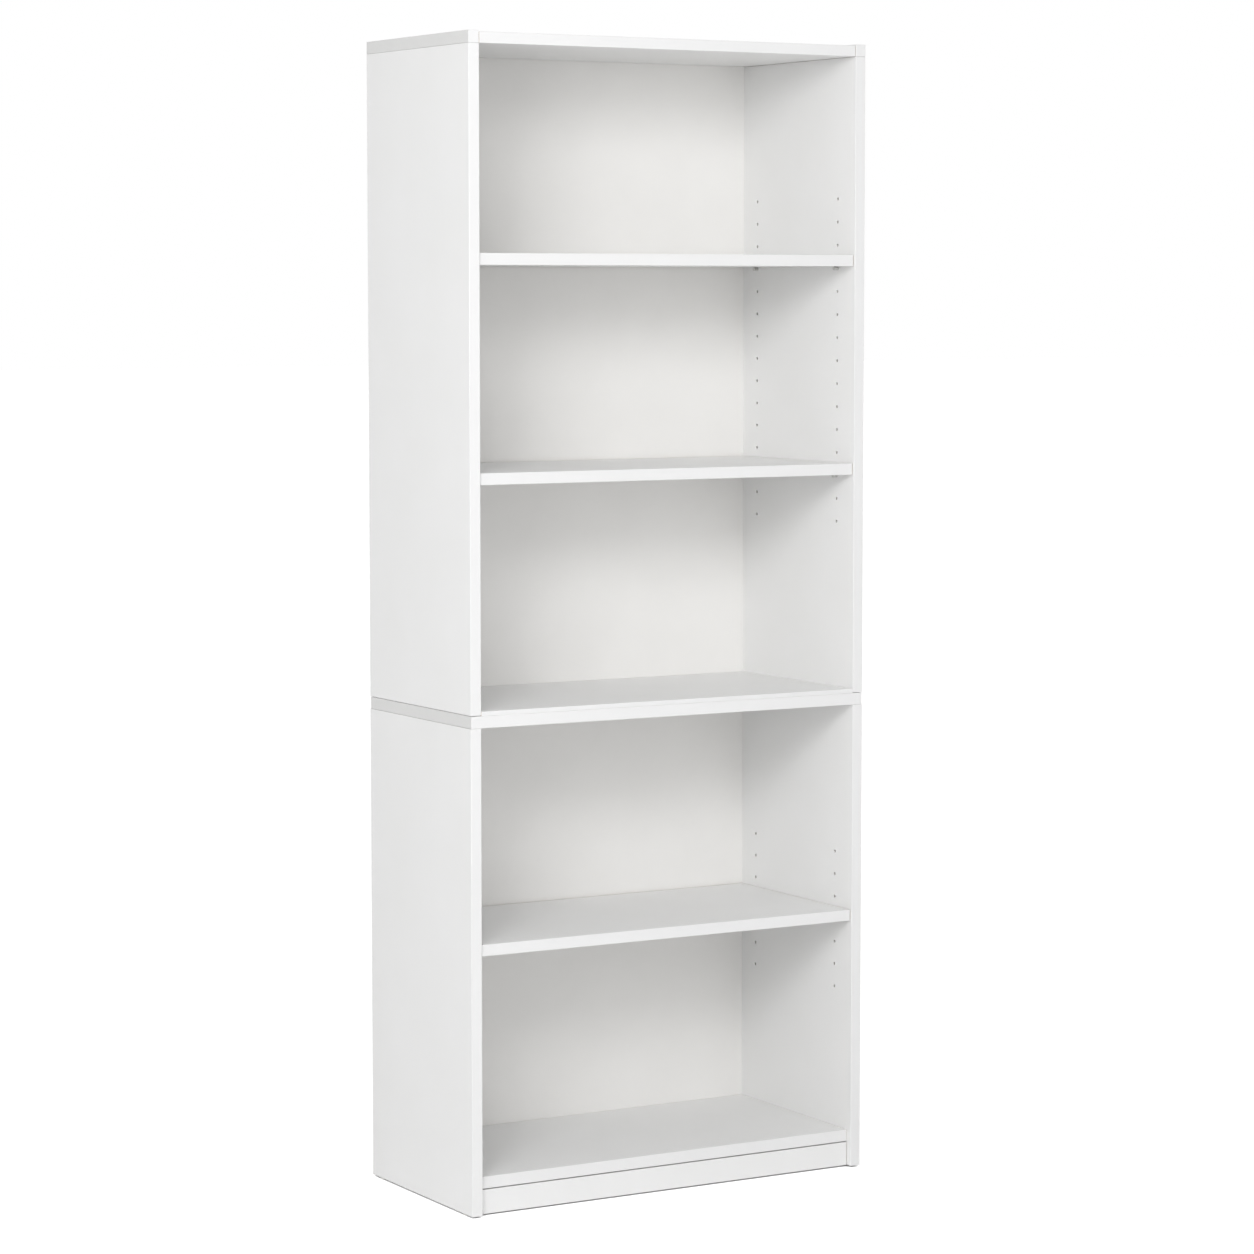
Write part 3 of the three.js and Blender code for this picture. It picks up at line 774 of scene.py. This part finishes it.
def drill_pin_holes(piece, box_name, hand):
    """Two columns of blind holes up the inner face, and the number of holes."""
    rows = HOLE_ROWS[box_name]
    lowest = pin_height(rows["lowest"]) - rows["below"] * PIN_HOLE["pitch"]
    highest = pin_height(rows["highest"]) + rows["above"] * PIN_HOLE["pitch"]
    count = round((highest - lowest) / PIN_HOLE["pitch"]) + 1
    pin_low, pin_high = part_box("lower_shelf_pin_front_left")
    rear_low, rear_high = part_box("lower_shelf_pin_rear_left")
    front_column = (pin_low.y + pin_high.y) / 2
    rear_column = (rear_low.y + rear_high.y) / 2
    side_low, side_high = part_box(piece.name.removesuffix("_faced"))
    inner = min(abs(side_low.x), abs(side_high.x))
    add_geometry_modifier(
        piece,
        drilling,
        First_Hole=(hand * inner, front_column, lowest),
        Columns=2,
        Column_Step=(0.0, rear_column - front_column, 0.0),
        Rows=count,
        Row_Step=(0.0, 0.0, PIN_HOLE["pitch"]),
        Drill_Turn=DRILL_TURNS[0],
        Drill_Radius=PIN_HOLE["radius"],
        Drill_Length=2 * PIN_HOLE["depth"],
        Drill_Facets=PIN_HOLE["facets"],
        Hole_Wall=dusty,
    )
    return 2 * count


for side, hand in HANDS.items():
    block_finishes = {**UPRIGHT, "top": face, side: end_paper}
    lower = upright(f"lower_{side}_side", hand, UPRIGHT, below=0)
    upper = upright(f"upper_{side}_side", hand, UPRIGHT)
    block = upright(f"{side}_end_block", hand, block_finishes, below=0, above=0)
    holes = drill_pin_holes(lower, "lower", hand) + drill_pin_holes(upper, "upper", hand)
    drill_for(lower, front_and_rear("bottom_bolt", side), THREAD_BORE)
    drill_for(lower, front_and_rear("glide", side), GLIDE_BORE)
    drill_for(lower, [f"kick_dowel_{side}"], DOWEL_BORE)
    for piece in (lower, upper):
        drill_for(piece, front_and_rear("middle_dowel", side), DOWEL_BORE)
    for piece in (upper, block):
        drill_for(piece, front_and_rear("block_dowel", side), DOWEL_BORE)
    drill_for(block, front_and_rear("top_bolt", side), THREAD_BORE)
    for piece in (lower, upper, block):
        settle(piece)
        stand_for(piece, piece.name.removesuffix("_faced"))
    print(side, "uprights:", holes, "pin holes,", len(upper.data.polygons), "faces in the upper side")

# %% [markdown]
# ## Back panels
#
# The two back panels are sheets of hardboard that lie in the rebates of the sides and square the case
# up. They are plain rectangles like the boards, with a fine arris, a white front and a brown rear.

# %% Make the back panels
SHEET_ARRIS = 0.3 * MM
SHEET = {side: bare_back for side in SIDES} | {"front": paint}
for node in ("lower_back_panel", "upper_back_panel"):
    sheet = board_across(node, SHEET, SHEET_ARRIS)
    sheet.name = node + "_sheet"
    stand_for(sheet, node)
    print(sheet.name, len(sheet.data.polygons), "faces")

# %% [markdown]
# Panel nails every 120 mm or so hold the back. They are hammered in by hand, so no two heads sit quite
# alike. The heads could be placed one by one in a loop, but a second Geometry Nodes tree is easier to
# adjust: it walks round a rectangle a little inside the panel's edge, drops a head at even steps, and
# tilts each by a small random angle from a fixed seed.

# %% Build the nailing tree and nail the panels
NAIL_SPACING = 120 * MM
NAIL_FROM_SIDE = 4 * MM
NAIL_FROM_END = 9 * MM
NAIL_HEAD = {"radius": 2.1 * MM, "rim": 1.8 * MM, "height": 0.7 * MM, "facets": 20}
NAIL_TILT = math.radians(4)
NAIL_SEED = 7
NAIL_SIZES = {
    "Centre": "Vector",
    "Width": "Float",
    "Height": "Float",
    "Spacing": "Float",
    "Head Radius": "Float",
    "Rim Radius": "Float",
    "Head Height": "Float",
    "Facets": "Int",
    "Tilt": "Float",
    "Seed": "Int",
    "Steel": "Material",
}


def nailing_tree():
    tree, given = new_geometry_tree("Nails round a panel", NAIL_SIZES)
    panel = {"Width": given["Width"], "Height": given["Height"]}
    outline = add_node(tree, "GeometryNodeCurvePrimitiveQuadrilateral", panel)
    spaced = {"Curve": outline, "Length": given["Spacing"]}
    steps = add_node(tree, "GeometryNodeResampleCurve", spaced, mode="LENGTH")
    head = add_node(
        tree,
        "GeometryNodeMeshCone",
        {
            "Vertices": given["Facets"],
            "Radius Bottom": given["Head Radius"],
            "Radius Top": given["Rim Radius"],
            "Depth": given["Head Height"],
        },
    )
    least = add_node(tree, "ShaderNodeMath", {0: given["Tilt"], 1: -1.0}, operation="MULTIPLY")
    lean = add_node(
        tree,
        "FunctionNodeRandomValue",
        {"Min": least, "Max": given["Tilt"], "Seed": given["Seed"]},
        data_type="FLOAT_VECTOR",
    )
    leaning = add_node(tree, "FunctionNodeEulerToRotation", {"Euler": lean})
    placed = {"Points": steps, "Instance": head, "Rotation": leaning}
    heads = add_node(tree, "GeometryNodeInstanceOnPoints", placed)
    # The outline lies flat, and a quarter turn stands it up with the heads facing the rear.
    stand_up = add_node(tree, "FunctionNodeEulerToRotation", {"Euler": (-math.pi / 2, 0, 0)})
    standing = {"Geometry": heads, "Translation": given["Centre"], "Rotation": stand_up}
    stood = add_node(tree, "GeometryNodeTransform", standing)
    whole = add_node(tree, "GeometryNodeRealizeInstances", {"Geometry": stood})
    steel = add_node(tree, "GeometryNodeSetMaterial", {"Geometry": whole, "Material": given["Steel"]})
    add_node(tree, "NodeGroupOutput", {"Geometry": steel})
    return tree


nailing = nailing_tree()
for node in ("lower_back_panel", "upper_back_panel"):
    low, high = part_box(node)
    nails = make_piece(node.replace("_panel", "_nails"), bmesh.new(), [])
    add_geometry_modifier(
        nails,
        nailing,
        Centre=((low.x + high.x) / 2, high.y, (low.z + high.z) / 2),
        Width=high.x - low.x - 2 * NAIL_FROM_SIDE,
        Height=high.z - low.z - 2 * NAIL_FROM_END,
        Spacing=NAIL_SPACING,
        Head_Radius=NAIL_HEAD["radius"],
        Rim_Radius=NAIL_HEAD["rim"],
        Head_Height=2 * NAIL_HEAD["height"],
        Facets=NAIL_HEAD["facets"],
        Tilt=NAIL_TILT,
        Seed=NAIL_SEED,
        Steel=nail_steel,
    )
    settle(nails)
    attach(nails, "case")
    print(nails.name, len(nails.data.polygons) // (NAIL_HEAD["facets"] + 2), "nails")

# %% [markdown]
# ## Turned pieces
#
# Pins, bolts, dowels, glides and cams all come off a lathe or out of a round mould. Each is a profile
# of radii along an axis, swept once round. Rounded corners in the profile are quarter circles. A
# fluted dowel is the same sweep with a radius that ripples, so the sweep takes a ripple too. Smooth
# shading hides the facets, and edges that turn by more than 30 degrees stay sharp.

# %% A lathe
SHARP = math.radians(30)


def swept(profile, start, axis, facets, ripple=lambda turn: 1.0):
    """A closed mesh of [distance, radius] points swept round an axis through start."""
    axis = Vector(axis).normalized()
    across = axis.orthogonal().normalized()
    beside = axis.cross(across)
    work = bmesh.new()
    rings = []
    for distance, radius in profile:
        middle = Vector(start) + distance * axis
        if radius == 0:
            rings.append([work.verts.new(middle)] * facets)
            continue
        turns = [2 * math.pi * facet / facets for facet in range(facets)]
        rings.append(
            [
                work.verts.new(
                    middle + radius * ripple(turn) * (math.cos(turn) * across + math.sin(turn) * beside)
                )
                for turn in turns
            ]
        )
    for near, far in zip(rings, rings[1:]):
        for place in range(facets):
            following = (place + 1) % facets
            corners = dict.fromkeys((near[place], near[following], far[following], far[place]))
            work.faces.new(list(corners))
    bmesh.ops.recalc_face_normals(work, faces=work.faces)
    return work


def rounded_end(distance, radius, fillet, towards):
    """Profile points of a quarter circle from a wall at a radius to an end face at a distance.

    towards is 1 where the end face comes last along the axis, and -1 where it comes first.
    """
    points = [
        (distance - towards * fillet * (1 - math.sin(turn)), radius - fillet * (1 - math.cos(turn)))
        for turn in quarter_turns()
    ]
    return points if towards > 0 else points[::-1]


def shade_smooth(piece):
    piece.data.shade_smooth()
    piece.data.set_sharp_from_angle(angle=SHARP)


def axis_of(node):
    """Where a turned node starts, and its axis and length, from its box."""
    low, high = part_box(node)
    size = high - low
    along = max(range(3), key=lambda axis: size[axis])
    start = (low + high) / 2
    start[along] = low[along]
    axis = Vector([float(place == along) for place in range(3)])
    return start, axis, size[along]


# %% [markdown]
# ## Shelf pins
#
# A shelf pin is a steel peg. Its thin shank slides into the 5 mm hole, and its thicker head stands out
# from the side for the shelf to lie on. The shank has a lead-in at its tip and two shallow rings, and
# the end of the head is rounded over so that it doesn't scratch.

# %% Make the pins
PIN = {"shank": 2.3 * MM, "head": 3 * MM, "shank_length": 9 * MM, "fillet": 0.7 * MM, "ring": 0.15 * MM}
PIN_RINGS = (3 * MM, 5.5 * MM)
PIN_FACETS = 32


def pin_profile(length):
    """From the tip of the shank, which is deep in the side, to the rounded end of the head."""
    shank, ring = PIN["shank"], PIN["ring"]
    profile = [(0, 0)] + rounded_end(0, shank - ring, PIN["fillet"], -1)
    for middle in PIN_RINGS:
        profile += [
            (middle - 2 * ring, shank - ring),
            (middle, shank),
            (middle + 2 * ring, shank - ring),
        ]
    profile += [(PIN["shank_length"], shank - ring), (PIN["shank_length"], PIN["head"])]
    return profile + rounded_end(length, PIN["head"], PIN["fillet"], 1) + [(length, 0)]


pin_nodes = [node for node in frame["nodes"] if "_shelf_pin_" in node]
for node in pin_nodes:
    start, axis, length = axis_of(node)
    if node.endswith("left"):
        profile = pin_profile(length)
    else:
        profile = [(length - distance, radius) for distance, radius in reversed(pin_profile(length))]
    pin = make_piece(node + "_turned", swept(profile, start, axis, PIN_FACETS), [nickel])
    shade_smooth(pin)
    stand_for(pin, node)
print(len(pin_nodes), "pins of", len(pin.data.polygons), "faces")

# %% [markdown]
# ## Cam locks
#
# A cam is a cast zinc disc in a pocket of the board. It is hollow for the head of its bolt, with a
# slot for the bolt's neck, and its face has a cross for the screwdriver and a small arrow that points
# at the bolt before it is turned. The disc is swept, and small blocks and the arrow are taken away
# from it.

# %% Make the cams
CAM_CUTS = {"room": 8 * MM, "slot": 4.6 * MM, "cross": 8 * MM, "blade": 1.6 * MM, "cross_depth": 1.5 * MM}
CAM_BOLT_HEAD = 3.5 * MM
CAM_FILLET = 0.5 * MM
CAM_FACETS = 64
ARROW = {"from_centre": 5.2 * MM, "size": 1.3 * MM, "depth": 0.4 * MM}


def add_block(work, low, high):
    """A plain block between two corners, added to a mesh in work."""
    made = bmesh.ops.create_cube(work, size=1)["verts"]
    low, high = Vector(low), Vector(high)
    for vertex in made:
        vertex.co = Vector([low[i] if vertex.co[i] < 0 else high[i] for i in range(3)])


def add_arrow(work, tip, hand, low, high):
    """A triangular prism that points away from the middle of the case."""
    size = ARROW["size"]
    flat = [(tip[0], tip[1]), (tip[0] - hand * size, tip[1] + size), (tip[0] - hand * size, tip[1] - size)]
    lower = [work.verts.new((x, y, low)) for x, y in flat]
    upper = [work.verts.new((x, y, high)) for x, y in flat]
    work.faces.new(lower)
    work.faces.new(upper)
    for place in range(3):
        following = (place + 1) % 3
        work.faces.new((lower[place], lower[following], upper[following], upper[place]))


def take_away(piece, cutters):
    """Cuts one mesh in work out of a piece, and removes it."""
    bmesh.ops.recalc_face_normals(cutters, faces=cutters.faces)
    cutter = make_piece("cutter", cutters, [])
    modifier = piece.modifiers.new("Cut", "BOOLEAN")
    modifier.object = cutter
    modifier.operation = "DIFFERENCE"
    modifier.solver = "EXACT"
    modifier.use_self = True
    settle(piece)
    bpy.data.objects.remove(cutter)


def cam(node, hand, opens):
    """A cam in its pocket, with the open face upwards if opens is 1 and downwards if it is -1."""
    low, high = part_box(node)
    x, y = (low.x + high.x) / 2, (low.y + high.y) / 2
    height = high.z - low.z
    radius = (high.y - low.y) / 2
    shown = high.z if opens > 0 else low.z
    profile = [(0, 0), (0, radius)] + rounded_end(height, radius, CAM_FILLET, 1) + [(height, 0)]
    hidden = Vector((x, y, shown - opens * height))
    disc = make_piece(node + "_cast", swept(profile, hidden, (0, 0, opens), CAM_FACETS), [zinc])
    room, slot = CAM_CUTS["room"] / 2, CAM_CUTS["slot"] / 2
    arm, blade = CAM_CUTS["cross"] / 2, CAM_CUTS["blade"] / 2
    bolt = hidden.z + opens * CAM_BOLT_HEAD
    back, roof = hidden.z - opens * MM, bolt + opens * room
    above, cross = shown + opens * MM, shown - opens * CAM_CUTS["cross_depth"]
    work = bmesh.new()
    for corner, opposite in (
        ((x - room, y - room, back), (x + room, y + room, roof)),
        ((x, y - slot, back), (x + hand * (radius + MM), y + slot, roof)),
        ((x - arm, y - blade, cross), (x + arm, y + blade, above)),
        ((x - blade, y - arm, cross), (x + blade, y + arm, above)),
    ):
        pairs = [sorted(pair) for pair in zip(corner, opposite)]
        add_block(work, [pair[0] for pair in pairs], [pair[1] for pair in pairs])
    tip = (x + hand * (ARROW["from_centre"] + ARROW["size"]), y)
    add_arrow(work, tip, hand, *sorted((shown - opens * ARROW["depth"], above)))
    take_away(disc, work)
    shade_smooth(disc)
    return disc


for level, opens in {"top": 1, "bottom": -1}.items():
    for side, hand in HANDS.items():
        for node in front_and_rear(level + "_cam", side):
            made = cam(node, hand, opens)
            stand_for(made, node)
print("8 cams of", len(made.data.polygons), "faces")

# %% [markdown]
# ## Bolts
#
# Each cam pulls on the round head of a bolt, whose thread is screwed into the upright. The same lathe
# turns it, with the thread as a row of ridges at a pitch of 1.25 mm. A true helix would look no
# different at this size. Bolts are hidden once the case is together, and they are made as whole
# pieces all the same, because an exploded view shows them.

# %% Make the bolts
BOLT = {"head": 3.5 * MM, "head_length": 3 * MM, "neck": 1.8 * MM, "shaft": 2.6 * MM, "fillet": 0.8 * MM}
COLLAR = {"radius": 3.8 * MM, "length": 1.5 * MM}
THREAD = {"radius": 2.4 * MM, "core": 1.9 * MM, "length": 10 * MM, "pitch": 1.25 * MM}
BOLT_FACETS = 24
COLLAR_GAP = 0.3 * MM


def bolt_profile(length):
    """From the round head in the cam to the point of the thread in the upright."""
    thread_start = length - THREAD["length"]
    collar_end = thread_start - COLLAR_GAP
    collar_start = collar_end - COLLAR["length"]
    neck_end = BOLT["head_length"] / 2 + CAM_BORE
    head = rounded_end(0, BOLT["head"], BOLT["fillet"], -1)
    head += rounded_end(BOLT["head_length"], BOLT["head"], BOLT["fillet"], 1)
    profile = [(0, 0)] + head + [(BOLT["head_length"], BOLT["neck"])]
    profile += [(neck_end, BOLT["neck"]), (neck_end, BOLT["shaft"])]
    profile += [(collar_start, BOLT["shaft"]), (collar_start, COLLAR["radius"])]
    profile += [(collar_end, COLLAR["radius"]), (collar_end, THREAD["core"])]
    ridges = int(THREAD["length"] / THREAD["pitch"])
    for ridge in range(ridges):
        foot = thread_start + ridge * THREAD["pitch"]
        profile += [(foot, THREAD["core"]), (foot + THREAD["pitch"] / 2, THREAD["radius"])]
    return profile + [(length, THREAD["core"]), (length, 0)]


bolt_nodes = [node for node in frame["nodes"] if "_bolt_" in node]
for node in bolt_nodes:
    start, axis, length = axis_of(node)
    profile = bolt_profile(length)
    if node.endswith("left"):
        profile = [(length - distance, radius) for distance, radius in reversed(profile)]
    bolt = make_piece(node + "_plated", swept(profile, start, axis, BOLT_FACETS), [nickel])
    shade_smooth(bolt)
    stand_for(bolt, node)
print(len(bolt_nodes), "bolts of", len(bolt.data.polygons), "faces")

# %% [markdown]
# ## Dowels
#
# Beech dowels line the joints up. They are fluted along their length, so that air and glue can escape,
# and their ends are chamfered. The flutes are the lathe's ripple: the radius dips sixteen times in
# one turn, by a twentieth.

# %% Make the dowels
FLUTES = 16
FLUTE_DEPTH = 0.05
DOWEL_CHAMFER = 1 * MM


def flutes(turn):
    """The share of the radius that is left at an angle round a dowel."""
    return 1 - FLUTE_DEPTH * (0.5 - 0.5 * math.cos(FLUTES * turn))


dowel_nodes = [node for node in frame["nodes"] if "_dowel_" in node]
for node in dowel_nodes:
    start, axis, length = axis_of(node)
    low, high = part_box(node)
    radius = min(high - low) / 2
    tip = radius - DOWEL_CHAMFER
    profile = [(0, 0), (0, tip), (DOWEL_CHAMFER, radius)]
    profile += [(length - DOWEL_CHAMFER, radius), (length, tip), (length, 0)]
    dowel = make_piece(node + "_fluted", swept(profile, start, axis, 4 * FLUTES, flutes), [beech])
    stand_for(dowel, node)
print(len(dowel_nodes), "dowels of", len(dowel.data.polygons), "faces")

# %% [markdown]
# ## Glides
#
# Four polythene discs, each with a nail moulded in, keep the chipboard of the sides off the floor.
# They hold it 2 mm up, and that gap is what draws the thin dark line where the case stands.

# %% Make the glides
GLIDE = {"radius": 8 * MM, "height": 2 * MM, "nail": 1.2 * MM, "fillet": 0.8 * MM}
GLIDE_FACETS = 40
NAIL_CLEAR = 0.1 * MM  # faces higher than this above the disc belong to its nail


def glide_profile(length):
    pad = [(0, 0)] + rounded_end(0, GLIDE["radius"], GLIDE["fillet"], -1)
    nail = [(GLIDE["height"], GLIDE["radius"]), (GLIDE["height"], GLIDE["nail"])]
    return pad + nail + [(length - GLIDE["nail"], GLIDE["nail"]), (length, 0)]


for side in HANDS:
    for node in front_and_rear("glide", side):
        low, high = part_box(node)
        foot = Vector(((low.x + high.x) / 2, (low.y + high.y) / 2, low.z))
        work = swept(glide_profile(high.z - low.z), foot, (0, 0, 1), GLIDE_FACETS)
        for one_face in work.faces:
            on_nail = one_face.calc_center_median().z > low.z + GLIDE["height"] + NAIL_CLEAR
            one_face.material_index = int(on_nail)
        glide = make_piece(node + "_moulded", work, [glide_plastic, nail_steel])
        shade_smooth(glide)
        stand_for(glide, node)
print("4 glides of", len(glide.data.polygons), "faces")

# %% [markdown]
# ## White studio
#
# A studio for furniture is a white sweep with large soft lamps, so that the object stands on white with
# only a thin dark line where it touches the floor. A floor lit by these lamps alone would come out
# pale grey, so its paint glows a little for the camera's own rays. The glow gives no light to the
# object, and the same is done for the surroundings: they light the object dimly and look white. An
# ambient occlusion node takes the glow away where something is close above, which leaves the line
# of contact dark.

# %% Floor and surroundings
FLOOR_HALF = 60
FLOOR_DROP = 0.2 * MM
FLOOR_CLOUD = 0.5
FLOOR_GLOW = 0.6
CONTACT = 25 * MM
CONTACT_SAMPLES = 8
COVERED, OPEN = 0.2, 0.48
AMBIENT = 0.54


def studio_floor():
    material, tree, place = new_material("White studio floor, matt paint")
    cloud = add_node(tree, "ShaderNodeTexNoise", {"Vector": place, "Scale": 1 / FLOOR_CLOUD})
    tone = add_node(tree, "ShaderNodeMix", {"Factor": cloud, 6: "#FCFCFC", 7: "#FAFAFA"}, data_type="RGBA")
    matt = add_node(tree, "ShaderNodeBsdfDiffuse", {"Color": tone.outputs[2]})
    seen = add_node(tree, "ShaderNodeLightPath").outputs["Is Camera Ray"]
    sky = add_node(tree, "ShaderNodeAmbientOcclusion", {"Distance": CONTACT}, samples=CONTACT_SAMPLES)
    open_sky = sky.outputs["AO"]
    uncovered = {"Value": open_sky, "From Min": COVERED, "From Max": OPEN, "To Max": FLOOR_GLOW}
    glow_left = add_node(tree, "ShaderNodeMapRange", uncovered)
    strength = add_node(tree, "ShaderNodeMath", {0: seen, 1: glow_left}, operation="MULTIPLY")
    glow = add_node(tree, "ShaderNodeEmission", {"Color": "#FFFFFF", "Strength": strength})
    both = add_node(tree, "ShaderNodeAddShader", {0: matt, 1: glow})
    add_node(tree, "ShaderNodeOutputMaterial", {"Surface": both})
    work = bmesh.new()
    corners = [(-1, -1), (1, -1), (1, 1), (-1, 1)]
    work.faces.new([work.verts.new((x * FLOOR_HALF, y * FLOOR_HALF, -FLOOR_DROP)) for x, y in corners])
    floor = make_piece("studio_floor", work, [material])


def white_surroundings():
    world = bpy.data.worlds.new("White surroundings")
    world.use_nodes = True
    tree = world.node_tree
    tree.nodes.clear()
    lighting = add_node(tree, "ShaderNodeBackground", {"Color": "#FFFFFF", "Strength": AMBIENT})
    backdrop = add_node(tree, "ShaderNodeBackground", {"Color": "#FFFFFF", "Strength": 1.0})
    seen = add_node(tree, "ShaderNodeLightPath").outputs["Is Camera Ray"]
    either = add_node(tree, "ShaderNodeMixShader", {0: seen, 1: lighting, 2: backdrop})
    add_node(tree, "ShaderNodeOutputWorld", {"Surface": either})
    bpy.context.scene.world = world


studio_floor()
white_surroundings()
print("floor and surroundings are white, and light the object at strength", AMBIENT)

# %% [markdown]
# ## Lamps
#
# The light comes from the front and the left, mostly from above the top of the bookcase. The key
# softbox is the strongest, and a lower one on the left has a little over half its power. Together they
# throw the soft slanting shadow under each shelf and the shadow down the left of the back. A small near
# one makes the upper box brighter than the lower one, and a large one on the left lights the outer
# side. Two weaker ones, on the right and low in front, lift the darkest corners.

# %% Hang the lamps
AIM = (0, 0, 0.9)
LAMPS = {
    "Key softbox, front left": ((-2.6, -4.0, 3.0), 1.2, 48),
    "Low softbox, left": ((-3.4, -3.2, 1.9), 1.2, 27),
    "Near softbox, left": ((-2.3, -2.2, 2.2), 0.8, 17),
    "Side softbox, left": ((-4.6, -1.6, 3.6), 2.0, 18),
    "Fill softbox, front right": ((0.6, -4.6, 2.6), 1.6, 14),
    "Low fill softbox, front": ((-0.4, -4.9, 0.9), 1.6, 6),
}


def softbox(name, place, side, power):
    """A square lamp in metres and watts that faces the aim."""
    lamp = bpy.data.lights.new(name, "AREA")
    lamp.shape = "SQUARE"
    lamp.size = side
    lamp.energy = power
    holder = bpy.data.objects.new(name, lamp)
    holder.location = place
    holder.rotation_euler = (Vector(AIM) - Vector(place)).to_track_quat("-Z", "Y").to_euler()
    bpy.context.scene.collection.objects.link(holder)


for name, (place, side, power) in LAMPS.items():
    softbox(name, place, side, power)
print("hung", len(LAMPS), "lamps")
